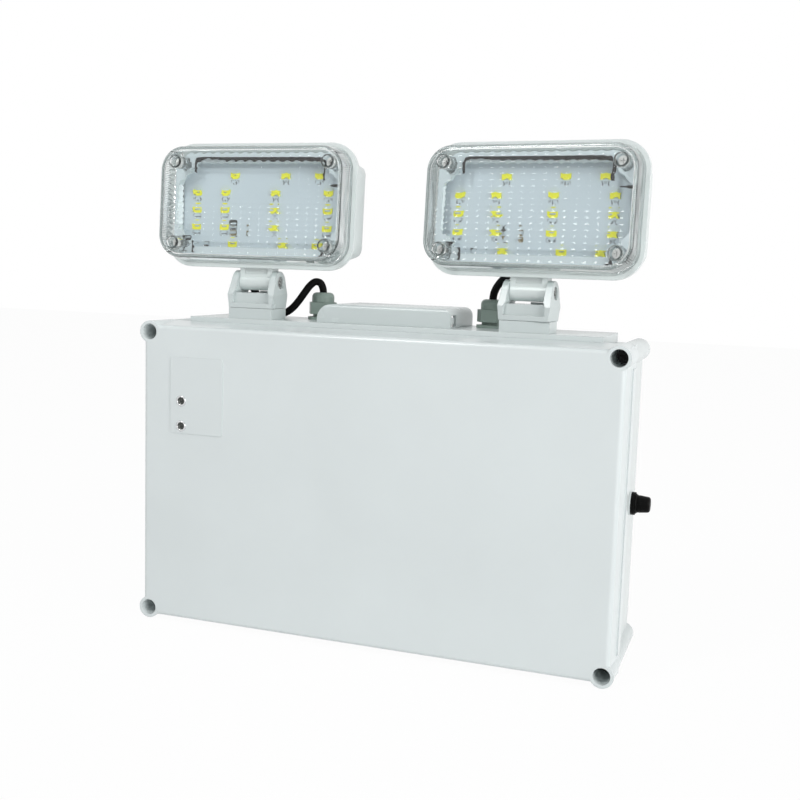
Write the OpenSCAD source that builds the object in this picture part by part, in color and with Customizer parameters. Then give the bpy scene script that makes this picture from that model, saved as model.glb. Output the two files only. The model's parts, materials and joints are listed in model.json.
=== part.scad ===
// Twin head emergency light: a wall box with two lamp heads on swivelling yokes.
// X runs to the viewer's right, +Y points into the wall, Z is up.
// The origin is the middle of the wall fixing holes, on the flat back of the box.

/* [Case] */
// Distance between the cover screws, side to side
screw_span_x = 277; // [250:1:310]
// Distance between the cover screws, up and down
screw_span_z = 169; // [150:1:190]
// Depth of the closed case
case_d = 78; // [74:0.5:90]
// Radius of the corner columns
boss_r = 6.5; // [6:0.1:7.5]
// Radius of the deep screw recesses in the corners
recess_r = 4.7; // [4.4:0.1:5]
// Wall thickness of the moulded case
wall = 2.5; // [2:0.1:3]
// Thickness of the back wall
back_t = 2.8; // [2.2:0.1:3.5]

/* [Front cover] */
// Depth of the cover, front face to joint
cover_d = 25.5; // [22:0.5:30]
// How far the cover stands out past the screws' middles at each side
rim_over_x = 5.5; // [4.8:0.1:7]
// How far the cover stands out past the screws' middles at top and bottom
rim_over_z = 6; // [4.8:0.1:7]
// How far each side of the cover leans in from the joint to the face
face_lean_x = 1.6; // [0:0.1:3]
// How far the cover's top and bottom lean in from the joint to the face
face_lean_z = 1.7; // [0:0.1:3]
// Radius of the rounded front edges
face_round = 2.6; // [1:0.1:4]
// Thickness of plastic under the head of a cover screw
seat_t = 3; // [2:0.1:5]

/* [Back box] */
// How far the neck behind the joint is set in
neck_inset = 3; // [2:0.1:4]
// Front to back length of the neck
neck_d = 5.5; // [4.5:0.1:7]
// How far each side of the box is set in from the cover's edge
base_set_x = 2; // [0.5:0.1:3]
// How far the box's top and bottom are set in from the cover's edge
base_set_z = 1.5; // [0.5:0.1:3]
// How far each side of the box leans in from the neck to the wall
base_lean_x = 1.2; // [0:0.1:2]
// How far the box's top and bottom lean in from the neck to the wall
base_lean_z = 1; // [0:0.1:2]
// Height of the flat platform above the box's top
platform_rise = 4.4; // [2.8:0.1:5]
// Gap between the platform's end and a corner screw's axis
platform_end = 12.5; // [10:0.5:20]

/* [Wall fixing] */
// Distance between the fixing holes, side to side
fixing_x = 210; // [190:5:220]
// Distance between the fixing holes, up and down
fixing_z = 120; // [110:5:130]
// Radius of a fixing hole
fixing_r = 2.4; // [2:0.1:3]
// Height of the raised pad round a fixing hole, inside
fixing_pad = 1.6; // [0.8:0.1:3]

/* [Cable hood] */
// Width of the clip-on hood over the mains cable
hood_w = 82.5; // [70:0.5:90]
// Height of the hood above the platform
hood_h = 10.9; // [9:0.1:14]
// Front to back length of the hood
hood_d = 46; // [42:0.5:46.5]
// Place of the hood's middle, side to side
hood_x = -2.8; // [-6:0.1:2]
// Wall thickness of the hood
hood_t = 2; // [1.4:0.1:2.5]

/* [Pedestals and yokes] */
// Distance from the yokes' common middle to each yoke
head_x = 83.9; // [80:0.1:88]
// How far the yokes' common middle lies to the right of the case's
pair_x = -1.7; // [-3:0.1:3]
// Width of a pedestal and its yoke
pedestal_w = 28.4; // [27:0.1:31]
// Depth of a pedestal
pedestal_d = 19.5; // [18:0.1:21]
// Height of a pedestal
pedestal_h = 6.5; // [6:0.1:9]
// Height of the tilt axis above the pedestal
pivot_h = 15.5; // [14.6:0.1:17]
// How far the tilt axis lies behind the swivel axis
pivot_back = 1.2; // [0:0.1:3]
// Thickness of a yoke ear
ear_t = 3.4; // [3:0.1:3.8]
// Radius of an ear's round end
ear_r = 6.8; // [6.5:0.1:8]

/* [Lamp heads] */
// Width of a lens at its front
lens_w = 117.6; // [112:0.2:118.2]
// Height of a lens at its front
lens_h = 65.4; // [62:0.1:66]
// Width of a lens at its foot
lens_foot_w = 118.8; // [118.4:0.2:122]
// Height of a lens at its foot
lens_foot_h = 69.6; // [66.2:0.1:71]
// Depth of a lens
lens_d = 15.8; // [14:0.1:17.5]
// Corner radius of a lens
lens_r = 14; // [11:0.1:16]
// Wall thickness of a lens
lens_t = 2; // [1.6:0.1:2.4]
// Height of the lens's middle above the tilt axis
head_rise = 45.1; // [44:0.1:50]
// Distance from the tilt axis to the front of the lens
head_reach = 23; // [22:0.1:25]
// How far the lens's middle lies to the right of its yoke's
head_side = 1.6; // [0:0.1:2]
// Width of the housing behind the lens
body_w = 117.4; // [112:0.2:118]
// Height of the housing behind the lens
body_h = 59; // [57:0.1:61]
// Depth of the housing behind its flange
body_d = 24.5; // [17:0.5:25]
// Rest tilt of the left head in degrees, top leaning back
left_tilt_angle = 3.6; // [0:0.1:8]
// Rest tilt of the right head in degrees, top leaning back
right_tilt_angle = 3.6; // [0:0.1:8]
// Rest turn of the left head in degrees, anticlockwise from above
left_turn_angle = 0; // [-8:0.1:8]
// Rest turn of the right head in degrees, anticlockwise from above
right_turn_angle = -5; // [-8:0.1:8]

/* [Cable glands and leads] */
// Distance from the hood's left end to the left gland's middle
gland_set_x = 10.25; // [9.8:0.05:14]
// Distance from the wall to the middle of a gland
gland_y = 14.7; // [13.5:0.1:16]
// Size across the flats of a gland's nut
gland_af = 16; // [15:0.1:18]
// Radius of a lamp lead
lead_r = 2.25; // [2:0.05:2.5]

/* [Test button] */
// Distance from the wall to the button's axis
button_y = 22; // [20:0.5:26]
// Height of the button's axis below the middle of the case
button_drop = 1.5; // [-10:0.5:10]
// Radius of the round knob
knob_r = 5; // [4:0.1:5.2]
// How far the knob can be pressed in
button_travel = 2.5; // [1.5:0.1:3]

/* [Battery and circuit] */
// Width of the battery
battery_w = 70; // [60:1:75]
// Height of the battery
battery_h = 101; // [90:1:107]
// Thickness of the battery
battery_d = 46; // [40:1:47]
// Width of the circuit board
board_w = 90; // [80:1:92]
// Height of the circuit board
board_h = 70; // [60:1:80]
// Thickness of a circuit board
board_t = 1.6; // [1:0.1:2]

/* [Hidden] */
$fn = 48;

// One overrun serves every cut, and named clearances serve every fit
over = 1;
joint_gap = 0.2;
face_gap = 0.15;
run_gap = 0.05;
soft_gap = 0.1;

// Case places
front_y = -case_d;
joint_y = cover_d - case_d;
neck_back = joint_y + neck_d;
span_x = screw_span_x / 2;
span_z = screw_span_z / 2;
rim_w = screw_span_x + 2 * rim_over_x;
rim_h = screw_span_z + 2 * rim_over_z;
face_w = rim_w - 2 * face_lean_x;
face_h = rim_h - 2 * face_lean_z;
base_w = rim_w - 2 * base_set_x;
base_h = rim_h - 2 * base_set_z;
base_rear_w = base_w - 2 * base_lean_x;
base_rear_h = base_h - 2 * base_lean_z;
top_z = base_h / 2;
platform_z = top_z + platform_rise;
platform_x = span_x - platform_end;
ceiling_z = platform_z - wall;
rim_in_w = rim_w - 2 * neck_inset;
rim_in_h = rim_h - 2 * neck_inset;
rim_band = 6;
rim_cut = 14;
floor_y = -back_t;
cover_recess_d = cover_d - seat_t;
screw_head_r = 4;
screw_head_h = 2.6;
screw_r = 2;
screw_l = 20;
cross_w = 1;
cross_l = 4.6;
base_boss_r = boss_r - joint_gap;
pad_r = 6;

// Gasket between box and cover
gasket_w = 2.6;
gasket_d = 2;
gasket_edge = 1.6;

// Cover trim
step_set = 17;
step_y = front_y + step_set;
step_out = 0.4;
label_w = 34.6;
label_h = 45.4;
label_t = 0.4;
label_in = 14.7;
label_down = 14;
label_x = label_in + label_w / 2 - span_x;
label_z = span_z - label_down - label_h / 2;
label_r = 1.5;
indicator_in = 7.3;
indicator_down = 26;
indicator_gap = 15;
indicator_x = label_in + indicator_in - span_x;
indicator_high = span_z - label_down - indicator_down;
indicator_z = [indicator_high, indicator_high - indicator_gap];
indicator_r = 2.4;
bezel_r = 3.1;
bezel_t = 0.5;
bezel_wall = 0.4;
sleeve_l = 4;
led_base = 1.2;
led_rim_r = 2.9;
led_rise = 0.5;
led_dome = 1.2;

// Cable hood
hood_front = neck_back;
hood_left_r = 9;
hood_right_r = 5;
hood_edge_r = 2;
window_w = 9;
window_h = 6.4;
window_y = 2.4;
window_z = 0.8;
catch_h = 3.6;
catch_w = 5;
catch_t = 3;
catch_lip = 1.4;
entry_y = -18;
entry_r = 6.5;
entry_lip = 1.6;
entry_lip_t = 1.2;
entry_hole_r = 3.2;

// Pedestals and yokes
pedestal_front = 0.4;
swivel_y = joint_y + 0.5 * joint_gap + pedestal_front + pedestal_d / 2;
yoke_z = platform_z + pedestal_h;
pivot_z = yoke_z + pivot_h;
nub_r = 1.5;
nub_l = 1.8;
nub_x = 10;
swivel_r = 2.5;
swivel_head_r = 4.5;
swivel_head_h = 2.6;
well_gap = 0.4;
swivel_grip = 6;
barrel_r = 5;
slit = 1.4;
web_h = pivot_h - barrel_r - slit;
web_foot = 3;
web_set = 2.4;
web_back = 7;
ledge_set = 1.8;
ledge_clear = 0.35;
ear_side = 1;
ear_bow = 1.2;
ear_waist = 8;
ear_lean_angle = 57;
yoke_gap = pedestal_w - 2 * ear_t;
barrel_w = yoke_gap - 2 * face_gap;
bolt_r = 2;
bolt_head_r = 3.5;
bolt_head_h = 1.5;
bolt_key_r = 1.6;
bolt_sink = 1.8;
nut_r = 4;
nut_h = 1.6;

// Lamp heads, in the head's own frame with its origin on the tilt axis
flange_over = 2.3;
flange_t = 3;
gasket_t = 1;
lens_back = lens_d - head_reach;
flange_front = lens_back + gasket_t;
flange_back = flange_front + flange_t;
body_back = flange_back + body_d;
body_r = 12;
body_round = 8;
lens_round = 2;
shell_t = 2.5;
arm_w = barrel_w;
arm_front = -4.2;
arm_back = 4.4;
panel_w = 15;
panel_h = 6;
panel_t = 0.8;
panel_rise = 4.6;
post_x = 49.5;
post_z = 24;
post_r = 4;
post_sink_r = 3.2;
post_sink = 8;
lens_screw_r = 1.4;
lens_screw_head_r = 2.7;
lens_screw_head_h = 1.8;
lens_screw_l = 16;
lens_seat = post_sink - head_reach;
flute_pitch = 6;
flute_depth = 0.6;
flute_margin_x = 10;
flute_margin_z = 7;
led_board_w = 108;
led_board_h = 51.6;
led_board_set = 19.7;
led_board_y = led_board_set - head_reach;
tray_d = 3.2;
tray_gap = 0.4;
tray_slope = 3;
tray_corner = 14;
support_r = 3;
support_x = 30;
support_z = 18;
chip_w = 5.7;
chip_h = 3;
chip_t = 0.8;
chip_inner_shares = [-0.412, -0.219, 0.086, 0.403];
chip_outer_shares = [-0.167, 0.144, 0.348];
chip_rows_shares = [0.362, 0.165, -0.033, -0.236, -0.434];
head_grommet_x = -13;
head_grommet_y = 11.5;
head_grommet_r = 4.6;
head_grommet_neck = 3.3;
head_grommet_t = 1.4;

// Glands
gland_flange_t = 1.6;
gland_flange_r = 9.2;
gland_neck_r = 6.1;
gland_neck_h = 1.7;
gland_nut_h = 7.3;
gland_dome_h = 6;
gland_dome_r = 6.9;
gland_dome_round = 2.8;
gland_stem_r = 5.6;
gland_stem_l = 8;
locknut_h = 4;
gland_z = platform_z;
gland_x = hood_w / 2 - hood_x + gland_set_x;

// Test button
button_z = -button_drop;
button_seat = base_w / 2;
bezel_flange_r = 6.5;
bezel_flange_t = 2.2;
bezel_bush_r = 5.9;
bezel_bush_l = 12;
button_nut_h = 3;
button_nut_r = 8.6;
bezel_nut_seat = wall + (base_w - base_rear_w) / 2;
button_out = 8.3;
knob_in = 3.2;
knob_tip_r = 4.4;
knob_round = 1.6;
knob_collar = 2;
knob_clear = 0.15;
stem_r = 1.5;
stem_l = 9;
switch_w = 14;
switch_l = 10;
switch_plunger_r = 2.2;

// Battery and circuit
battery_x = -42;
rib_t = 1.2;
strap_w = 14;
strap_t = 1.2;
strap_foot = 12;
strap_post_r = 4;
strap_post_h = 8;
strap_drop = 18;
small_screw_r = 1.4;
small_head_r = 2.8;
small_head_h = 1.8;
small_screw_l = 6;
terminal_w = 6;
terminal_h = 7;
terminal_t = 0.8;
terminal_gap = 22;
board_x = 52;
board_z = 4;
board_post_h = 6;
board_post_r = 3.5;
board_inset = 4.5;
coil_w = 40;
coil_h = 33;
coil_d = 28;
core_w = 24;
core_over = 4;
capacitor_r = 6;
capacitor_l = 24;
capacitor_gap = 15;
block_w = 46;
block_h = 16;
block_d = 14;
block_z = 58;
block_holes = 4;
block_hole_r = 2;

// Routes of the two lamp leads, from inside the case up to the heads.
// The last point of each is where the lead goes through the head's grommet.
left_lead_route = [
  [-54.3, -14.7, 82], [-54.3, -14.7, 109.9], [-54.7, -15, 113], [-56.2, -15.8, 115.9],
  [-58.9, -17, 116.4], [-61.6, -18.5, 114.1], [-64.2, -20.2, 110], [-67.4, -21.4, 105],
  [-71, -22.2, 100.5], [-75, -22.4, 97.4], [-79.1, -22, 96], [-83, -21.6, 96.1],
  [-86.9, -21.5, 97.6], [-90.5, -22.3, 101], [-93.7, -23.9, 105.4], [-96.4, -25.9, 110.1],
  [-98.1, -27.7, 115.4], [-98.6, -28.6, 121.4]];
right_lead_route = [
  [54.3, -14.7, 82], [54.3, -14.7, 109.9], [54.8, -15.2, 113.2], [56.3, -16.5, 116.4],
  [58.6, -18.4, 119.3], [61.4, -20.6, 121.9], [64.4, -22.9, 124], [67, -25, 125.4],
  [69, -26.6, 126.9]];
left_split = 12;
right_split = 5;
lead_sides = 8;
lead_inside = 6;

// Points of an arc, from angle a to angle b
function arc(cx, cy, r, a, b, n = 6) =
  [for (i = [0 : n]) [cx + r * cos(a + (b - a) * i / n), cy + r * sin(a + (b - a) * i / n)]];

function unit(v) = v / norm(v);

// A profile from a rounded front edge at y1 back to y2, where it has another width
function shell_profile(w1, w2, y1, y2, r) = concat(
  arc(-w1 / 2 + r, y1 + r, r, 180, 270),
  arc(w1 / 2 - r, y1 + r, r, 270, 360),
  [[w2 / 2, y2], [-w2 / 2, y2]]);

// A box with drafted sides and rounded front edges, from y1 to y2
module drafted(w1, w2, h1, h2, y1, y2, r) {
  intersection() {
    linear_extrude(2 * h1 + 2 * h2, center = true)
      polygon(shell_profile(w1, w2, y1, y2, r));
    rotate([0, -90, 0])
      linear_extrude(2 * w1 + 2 * w2, center = true)
        polygon(shell_profile(h1, h2, y1, y2, r));
  }
}

// A plain drafted box with sharp edges
module tapered(w1, w2, h1, h2, y1, y2) {
  intersection() {
    linear_extrude(2 * h1 + 2 * h2, center = true)
      polygon([[-w1 / 2, y1], [w1 / 2, y1], [w2 / 2, y2], [-w2 / 2, y2]]);
    rotate([0, -90, 0])
      linear_extrude(2 * w1 + 2 * w2, center = true)
        polygon([[-h1 / 2, y1], [h1 / 2, y1], [h2 / 2, y2], [-h2 / 2, y2]]);
  }
}

// A cylinder along Y, from y1 to y2
module rod_y(r, y1, y2) {
  translate([0, y1, 0])
    rotate([-90, 0, 0])
      cylinder(r = r, h = y2 - y1);
}

// A cylinder along X, from x1 to x2
module rod_x(r, x1, x2) {
  translate([x1, 0, 0])
    rotate([0, 90, 0])
      cylinder(r = r, h = x2 - x1);
}

// A block from one corner to the opposite one
module block(low, high) {
  translate(low)
    cube(high - low);
}

// A plate with round corners in the XZ plane, from y1 to y2
module plate_y(w, h, r, y1, y2) {
  x = w / 2 - r;
  z = h / 2 - r;
  block([-w / 2, y1, -z], [w / 2, y2, z]);
  block([-x, y1, -h / 2], [x, y2, h / 2]);
  for (sx = [-1, 1], sz = [-1, 1])
    translate([sx * x, 0, sz * z])
      rod_y(r, y1, y2);
}

// A plate with cut corners in the XZ plane, from y1 to y2
module cut_plate(w, h, c, y1, y2) {
  a = w / 2;
  b = h / 2;
  translate([0, y2, 0])
    rotate([90, 0, 0])
      linear_extrude(y2 - y1)
        polygon([[-a, c - b], [c - a, -b], [a - c, -b], [a, c - b],
          [a, b - c], [a - c, b], [c - a, b], [-a, b - c]]);
}

module at_screws() {
  for (sx = [-1, 1], sz = [-1, 1])
    translate([sx * span_x, 0, sz * span_z])
      children();
}

module at_fixings() {
  for (sx = [-1, 1], sz = [-1, 1])
    translate([sx * fixing_x / 2, 0, sz * fixing_z / 2])
      children();
}

module at_board_posts() {
  for (sx = [-1, 1], sz = [-1, 1])
    translate([board_x + sx * (board_w / 2 - board_inset), 0,
      board_z + sz * (board_h / 2 - board_inset)])
      children();
}

// Place of a yoke's middle, side to side
function yoke_x(side) = pair_x + side * head_x;

// The two posts that carry the battery strap's feet
strap_x = battery_w / 2 + strap_foot / 2 + strap_t;
battery_low = rim_band - rim_in_h / 2 + joint_gap;
strap_z = battery_low + battery_h / 2 + strap_drop;
module at_strap_posts() {
  for (sx = [-1, 1])
    translate([battery_x + sx * strap_x, 0, strap_z])
      children();
}

module back_box() {
  color("gainsboro")
  difference() {
    union() {
      difference() {
        union() {
          tapered(rim_in_w, rim_in_w, rim_in_h, rim_in_h, joint_y + joint_gap, neck_back + over);
          tapered(base_w, base_rear_w, base_h, base_rear_h, neck_back, 0);
          at_screws() rod_y(base_boss_r, joint_y + joint_gap, 0);
          block([-platform_x, joint_y + joint_gap, top_z - wall], [platform_x, 0, platform_z]);
          translate([0, -button_y, button_z])
            rod_x(bezel_flange_r + joint_gap, 0, button_seat);
        }
        box_cavity();
      }
      at_screws() rod_y(base_boss_r, joint_y + joint_gap, -over / 2);
      at_fixings() rod_y(pad_r, floor_y - fixing_pad, -over / 2);
      at_board_posts() rod_y(board_post_r, floor_y - board_post_h, -over / 2);
      at_strap_posts() rod_y(strap_post_r, floor_y - strap_post_h, -over / 2);
      catch_post();
      translate([0, -button_y, button_z])
        rod_x(button_nut_r + joint_gap, button_seat - bezel_nut_seat, button_seat - wall / 2);
      for (sx = [-1, 1])
        translate([sx * battery_w / 4 + battery_x, 0, 0])
          block([-rib_t / 2, neck_back, -base_h / 2 + wall / 2],
            [rib_t / 2, -over, battery_low - soft_gap]);
    }
    gasket_ring(gasket_w + 2 * soft_gap, joint_y, joint_y + gasket_d);
    at_screws() rod_y(screw_r + run_gap, joint_y - over, joint_y + screw_l - seat_t);
    at_fixings() rod_y(fixing_r, floor_y - fixing_pad - over, over);
    at_board_posts() rod_y(small_screw_r + run_gap, floor_y - board_post_h - over, floor_y);
    at_strap_posts() rod_y(small_screw_r + run_gap, floor_y - strap_post_h - over, floor_y);
    translate([0, -button_y, button_z])
      rod_x(bezel_bush_r + run_gap, button_seat - 3 * wall, button_seat + over);
    for (side = [-1, 1]) {
      translate([yoke_x(side), swivel_y, ceiling_z - over])
        cylinder(r = swivel_r + run_gap, h = wall + 2 * over);
      translate([yoke_x(side), swivel_y, rim_in_h / 2 - rim_band - over])
        cylinder(r = swivel_head_r + well_gap, h = ceiling_z + rim_band + over - rim_in_h / 2);
      for (sx = [-1, 1])
        translate([yoke_x(side) + sx * nub_x, swivel_y, platform_z - nub_l - soft_gap])
          cylinder(r = nub_r + run_gap, h = nub_l + over);
      translate([side * gland_x, -gland_y, ceiling_z - over])
        cylinder(r = gland_stem_r + run_gap, h = wall + 2 * over);
    }
    translate([hood_x, entry_y, ceiling_z - over])
      cylinder(r = entry_r + run_gap, h = wall + 2 * over);
  }
}

// The hollow of the back box, with the rim's inner edge cut round the corner columns
module box_cavity() {
  cut_plate(rim_in_w - 2 * rim_band, rim_in_h - 2 * rim_band, rim_cut, joint_y - over, neck_back + wall);
  intersection() {
    tapered(base_w - 2 * wall, base_rear_w - 2 * wall, base_h - 2 * wall, base_rear_h - 2 * wall,
      neck_back, 0);
    block([-rim_w, neck_back + wall / 2, -rim_h], [rim_w, floor_y, rim_h]);
  }
  block([wall - platform_x, neck_back + wall / 2, 0], [platform_x - wall, floor_y, ceiling_z]);
}

// The spring catch that shows in the hood's end window
module catch_post() {
  x = hood_x + hood_w / 2 - hood_t - soft_gap;
  y = hood_front + window_y + (window_w - catch_w) / 2;
  z = platform_z + window_z + (window_h - catch_h) / 2;
  block([x - catch_t, y, platform_z - over], [x, y + catch_w, z + catch_h]);
  block([x - over, y, z], [x + catch_lip, y + catch_w, z + catch_h]);
}

// A closed ring that follows the rim round the inside of the corner columns
module gasket_ring(w, y1, y2) {
  mid_w = rim_in_w - 2 * gasket_edge;
  mid_h = rim_in_h - 2 * gasket_edge;
  difference() {
    cut_plate(mid_w + w - gasket_w, mid_h + w - gasket_w, rim_cut, y1 - over * (w > gasket_w ? 1 : 0), y2);
    cut_plate(mid_w - gasket_w - w, mid_h - gasket_w - w, rim_cut, y1 - 2 * over, y2 + over);
  }
}

module cover_gasket() {
  color("dimgray")
    gasket_ring(gasket_w, joint_y, joint_y + gasket_d - soft_gap);
}

module front_cover() {
  color("whitesmoke")
  difference() {
    union() {
      difference() {
        union() {
          drafted(face_w, rim_w, face_h, rim_h, front_y, joint_y, face_round);
          block([-rim_w / 2 - step_out / 2, step_y, -span_z + boss_r],
            [rim_w / 2 + step_out / 2, joint_y, span_z - boss_r]);
        }
        intersection() {
          tapered(face_w - 2 * wall, rim_w - 2 * wall, face_h - 2 * wall, rim_h - 2 * wall,
            front_y, joint_y);
          block([-rim_w, front_y + wall, -rim_h], [rim_w, joint_y - wall, rim_h]);
        }
        cut_plate(rim_in_w - 2 * rim_band, rim_in_h - 2 * rim_band, rim_cut, joint_y - 2 * wall,
          joint_y + over);
      }
      at_screws() rod_y(boss_r, front_y, joint_y);
    }
    at_screws() rod_y(recess_r, front_y - over, front_y + cover_recess_d);
    at_screws() rod_y(screw_r + joint_gap, front_y, joint_y + over);
    for (z = indicator_z)
      translate([indicator_x, 0, z])
        rod_y(indicator_r + bezel_wall + 2 * run_gap, front_y - over, front_y + wall + over);
  }
}

module cover_screws() {
  seat = front_y + cover_recess_d;
  color("silver")
  at_screws()
    difference() {
      union() {
        rod_y(screw_head_r, seat - screw_head_h, seat);
        rod_y(screw_r, seat, seat + screw_l);
      }
      cross_slot(seat - screw_head_h, cross_l, cross_w, screw_head_h / 2);
    }
}

// A cross recess in a screw's head that faces the front
module cross_slot(y, l, w, d) {
  block([-l / 2, y - over, -w / 2], [l / 2, y + d, w / 2]);
  block([-w / 2, y - over, -l / 2], [w / 2, y + d, l / 2]);
}

module info_label() {
  color("white")
  difference() {
    translate([label_x, 0, label_z])
      plate_y(label_w, label_h, label_r, front_y - label_t, front_y);
    for (z = indicator_z)
      translate([indicator_x, 0, z])
        rod_y(indicator_r + bezel_wall + 2 * run_gap, front_y - over, front_y + over);
  }
}

module indicator_bezels() {
  face = front_y - label_t;
  color("silver")
  for (z = indicator_z)
    translate([indicator_x, 0, z])
      difference() {
        union() {
          rod_y(bezel_r, face - bezel_t, face);
          rod_y(indicator_r + bezel_wall, face, face + sleeve_l);
        }
        rod_y(indicator_r + run_gap, face - over, face + sleeve_l + over);
      }
}

module indicator_leds() {
  tip = led_rise + led_dome;
  color("honeydew")
  for (z = indicator_z)
    translate([indicator_x, front_y - label_t, z])
      rotate([90, 0, 0])
        rotate_extrude()
          polygon(concat([[0, -sleeve_l - led_base], [led_rim_r, -sleeve_l - led_base],
            [led_rim_r, -sleeve_l], [indicator_r, -sleeve_l]],
            arc(indicator_r - led_dome, led_rise, led_dome, 0, 90), [[0, tip]]));
}

// Outline of the hood from the front, or of its hollow when t is its wall
module hood_outline(t) {
  a = hood_w / 2 - t;
  top = hood_h - t;
  rl = hood_left_r - t;
  rr = hood_right_r - t;
  polygon(concat([[-a, -over * (t > 0 ? 1 : 0)], [a, -over * (t > 0 ? 1 : 0)]],
    arc(a - rr, top - rr, rr, 0, 90), arc(rl - a, top - rl, rl, 90, 180)));
}

module hood_solid(t, y1, y2) {
  translate([hood_x, y2, platform_z])
    rotate([90, 0, 0])
      linear_extrude(y2 - y1)
        hood_outline(t);
}

module cable_hood() {
  end = hood_front + hood_d;
  color("gainsboro")
  difference() {
    intersection() {
      hood_solid(0, hood_front, end);
      translate([hood_x, 0, platform_z])
        rotate([0, -90, 0])
          linear_extrude(2 * hood_w, center = true)
            polygon(concat([[0, end], [0, hood_front]],
              arc(hood_h - hood_edge_r, hood_front + hood_edge_r, hood_edge_r, 270, 360),
              [[hood_h, end]]));
    }
    hood_solid(hood_t, hood_front + hood_t, end + over);
    translate([hood_x + hood_w / 2 - hood_t - over, hood_front + window_y, platform_z + window_z])
      cube([hood_t + 2 * over, window_w, window_h]);
  }
}

module entry_grommet() {
  low = ceiling_z;
  color("dimgray")
  translate([hood_x, entry_y, 0])
  difference() {
    union() {
      translate([0, 0, low - entry_lip_t])
        cylinder(r = entry_r + entry_lip, h = entry_lip_t);
      translate([0, 0, low - over / 2])
        cylinder(r = entry_r, h = wall + over);
      translate([0, 0, platform_z])
        cylinder(r = entry_r + entry_lip, h = entry_lip_t);
    }
    translate([0, 0, low - 2 * over - entry_lip_t])
      cylinder(r = entry_hole_r, h = wall + 4 * over + 2 * entry_lip_t);
  }
}

module battery() {
  color("darkslategray")
    block([battery_x - battery_w / 2, floor_y - battery_d, battery_low],
      [battery_x + battery_w / 2, floor_y, battery_low + battery_h]);
}

module battery_terminals() {
  color("gold")
  for (sx = [-1, 1])
    translate([battery_x + sx * terminal_gap, floor_y - battery_d / 2, battery_low + battery_h])
      translate([-terminal_t / 2, -terminal_w / 2, 0])
        cube([terminal_t, terminal_w, terminal_h]);
}

module battery_strap() {
  a = battery_w / 2;
  face = floor_y - battery_d;
  foot = floor_y - strap_post_h;
  color("silver")
  difference() {
    translate([battery_x, 0, strap_z - strap_w / 2]) {
      block([-a - strap_t, face - strap_t, 0], [a + strap_t, face, strap_w]);
      for (sx = [-1, 1]) {
        translate([sx * (a + strap_t / 2) - strap_t / 2, face - strap_t, 0])
          cube([strap_t, foot - face + strap_t, strap_w]);
        translate([sx * (a + strap_foot / 2) - strap_foot / 2, foot - strap_t, 0])
          cube([strap_foot, strap_t, strap_w]);
      }
    }
    at_strap_posts() rod_y(small_screw_r + run_gap, foot - 2 * over, foot + over);
  }
}

// A small screw driven towards the wall, with its head's seat at y
module small_screw(y) {
  difference() {
    union() {
      rod_y(small_head_r, y - small_head_h, y);
      rod_y(small_screw_r, y, y + small_screw_l);
    }
    cross_slot(y - small_head_h, small_head_r, cross_w / 2, small_head_h / 2);
  }
}

module strap_screws() {
  color("silver")
    at_strap_posts() small_screw(floor_y - strap_post_h - strap_t);
}

board_face = floor_y - board_post_h - board_t;

module charger_board() {
  color("darkgreen")
  difference() {
    block([board_x - board_w / 2, board_face, board_z - board_h / 2],
      [board_x + board_w / 2, board_face + board_t, board_z + board_h / 2]);
    at_board_posts() rod_y(small_screw_r + run_gap, board_face - over, board_face + board_t + over);
  }
}

module board_screws() {
  color("silver")
    at_board_posts() small_screw(board_face);
}

module mains_transformer() {
  x = board_x + board_w / 2 - board_inset - coil_w / 2 - small_head_r;
  color("goldenrod")
  translate([x, board_face, board_z]) {
    block([-coil_w / 2, -coil_d, -coil_h / 2], [coil_w / 2, 0, coil_h / 2]);
    block([-core_w / 2, -coil_d - core_over, -coil_h / 2 - core_over],
      [core_w / 2, -core_over, coil_h / 2 + core_over]);
  }
}

module charger_capacitors() {
  x = board_x - board_w / 2 + capacitor_gap;
  color("midnightblue")
  for (i = [0 : 1])
    translate([x, 0, board_z + (i - 0.5) * capacitor_gap])
      rod_y(capacitor_r, board_face - capacitor_l, board_face);
}

module terminal_block() {
  pitch = block_w / block_holes;
  color("ivory")
  translate([hood_x, 0, block_z])
  difference() {
    block([-block_w / 2, floor_y - block_d, -block_h / 2], [block_w / 2, floor_y, block_h / 2]);
    for (i = [0 : block_holes - 1])
      translate([(i - (block_holes - 1) / 2) * pitch, 0, 0]) {
        rod_y(block_hole_r, floor_y - block_d - over, floor_y - block_d / 2);
        translate([0, floor_y - block_d / 3, -block_h])
          cylinder(r = block_hole_r, h = 2 * block_h);
      }
  }
}

module at_button() {
  translate([0, -button_y, button_z])
    children();
}

module button_bezel() {
  seat = button_seat;
  color("black")
  at_button()
  difference() {
    union() {
      rod_x(bezel_flange_r, seat, seat + bezel_flange_t);
      rod_x(bezel_bush_r, seat - bezel_bush_l, seat);
    }
    rod_x(knob_r + knob_clear, seat - knob_in - button_travel, seat + bezel_flange_t + over);
    rod_x(stem_r + knob_clear, seat - bezel_bush_l - over, seat);
  }
}

module button_nut() {
  back = button_seat - bezel_nut_seat;
  color("dimgray")
  at_button()
  difference() {
    translate([back - button_nut_h, 0, 0])
      rotate([0, 90, 0])
        cylinder(r = button_nut_r, h = button_nut_h, $fn = 6);
    rod_x(bezel_bush_r + run_gap, back - button_nut_h - over, back + over);
  }
}

module switch_body() {
  back = button_seat - bezel_bush_l;
  color("dimgray")
  at_button()
  difference() {
    block([back - switch_l, -switch_w / 2, -switch_w / 2], [back, switch_w / 2, switch_w / 2]);
    rod_x(switch_plunger_r, back - switch_l / 2, back + over);
  }
}

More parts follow.
